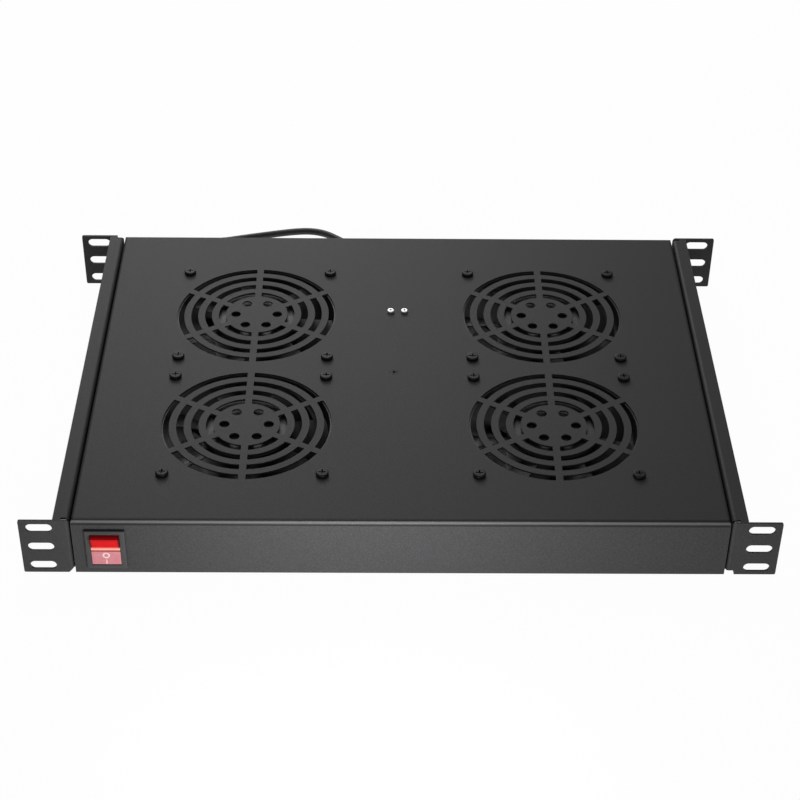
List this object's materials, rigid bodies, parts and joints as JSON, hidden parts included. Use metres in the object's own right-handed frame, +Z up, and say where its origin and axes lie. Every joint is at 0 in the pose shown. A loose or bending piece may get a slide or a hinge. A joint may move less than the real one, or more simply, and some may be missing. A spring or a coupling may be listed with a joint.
{
  "type": "rack fan tray",
  "caption": "Low black steel cooling tray for a server rack: mains fans blow up through punched round grilles, with slotted ears, a red rocker switch and a mains cord.",
  "frame": {"origin": "middle of the box of the tray with its ears and switch, on the level of the tray's bottom edges", "axes": "+X to the right seen from the front, +Y to the rear, +Z up"},
  "size_m": [0.488, 0.409, 0.0465],
  "materials": {
    "black_sheet": "fine-textured black powder coat",
    "cast_frame": "die-cast frame, semi-gloss black paint",
    "fan_plastic": "moulded black glass-filled plastic",
    "rotor_steel": "turned steel",
    "core_steel": "stacked steel laminations",
    "copper": "enamelled copper wire",
    "plated": "bright zinc plate",
    "black_screw": "black zinc plate",
    "switch_black": "moulded black polyamide",
    "switch_red": "translucent red polycarbonate",
    "lamp_glass": "clear glass envelope",
    "brass": "tinned or plain brass",
    "cord_black": "black PVC sheath",
    "wire_mixed": "PVC insulation",
    "block_white": "natural polyamide"
  },
  "bodies": {
    "chassis": {"tray_body": "black_sheet", "left_rail": "black_sheet", "right_rail": "black_sheet", "front_left_fan_frame": "cast_frame", "front_left_fan_stator": "core_steel", "front_left_fan_windings": "copper", "front_right_fan_frame": "cast_frame", "front_right_fan_stator": "core_steel", "front_right_fan_windings": "copper", "rear_left_fan_frame": "cast_frame", "rear_left_fan_stator": "core_steel", "rear_left_fan_windings": "copper", "rear_right_fan_frame": "cast_frame", "rear_right_fan_stator": "core_steel", "rear_right_fan_windings": "copper", "fan_bearings": "rotor_steel", "fan_screws": "black_screw", "fan_nuts": "plated", "rail_screws": "black_screw", "rail_nuts": "plated", "rail_spacers": "plated", "switch_housing": "switch_black", "switch_pin": "rotor_steel", "switch_lamp": "lamp_glass", "switch_terminals": "brass", "strain_relief": "switch_black", "power_cord": "cord_black", "power_cord_tail": "cord_black", "cord_hank": "cord_black", "cord_tie": "switch_black", "plug_body": "cord_black", "plug_pins": "plated", "terminal_block": "block_white", "terminal_inserts": "brass", "terminal_screws": "plated", "block_screws": "plated", "block_nuts": "plated", "earth_screw": "black_screw", "earth_lug": "brass", "earth_nut": "plated", "inner_cord": "cord_black", "switch_leads": "wire_mixed", "wiring_loom": "cord_black", "block_leads": "wire_mixed", "fan_plugs": "switch_black", "fan_cords": "cord_black", "cable_clips": "switch_black"},
    "front_left_fan_rotor": {"front_left_fan_impeller": "fan_plastic", "front_left_fan_cage": "rotor_steel", "front_left_fan_shaft": "rotor_steel"},
    "front_right_fan_rotor": {"front_right_fan_impeller": "fan_plastic", "front_right_fan_cage": "rotor_steel", "front_right_fan_shaft": "rotor_steel"},
    "rear_left_fan_rotor": {"rear_left_fan_impeller": "fan_plastic", "rear_left_fan_cage": "rotor_steel", "rear_left_fan_shaft": "rotor_steel"},
    "rear_right_fan_rotor": {"rear_right_fan_impeller": "fan_plastic", "rear_right_fan_cage": "rotor_steel", "rear_right_fan_shaft": "rotor_steel"},
    "rocker": {"switch_rocker": "switch_red"}
  },
  "joints": [
    {"name": "front_left_fan_spin", "type": "hinge", "parent": "chassis", "child": "front_left_fan_rotor", "pos_m": [-0.104, -0.06395, 0.02], "axis": [0, 0, 1], "continuous": true},
    {"name": "front_right_fan_spin", "type": "hinge", "parent": "chassis", "child": "front_right_fan_rotor", "pos_m": [0.104, -0.06395, 0.02], "axis": [0, 0, 1], "continuous": true},
    {"name": "rear_left_fan_spin", "type": "hinge", "parent": "chassis", "child": "rear_left_fan_rotor", "pos_m": [-0.104, 0.06405, 0.02], "axis": [0, 0, 1], "continuous": true},
    {"name": "rear_right_fan_spin", "type": "hinge", "parent": "chassis", "child": "rear_right_fan_rotor", "pos_m": [0.104, 0.06405, 0.02], "axis": [0, 0, 1], "continuous": true},
    {"name": "switch_rock", "type": "hinge", "parent": "chassis", "child": "rocker", "pos_m": [-0.1895, -0.16197, 0.021], "axis": [1, 0, 0], "range_deg": [-14, 0]}
  ]
}
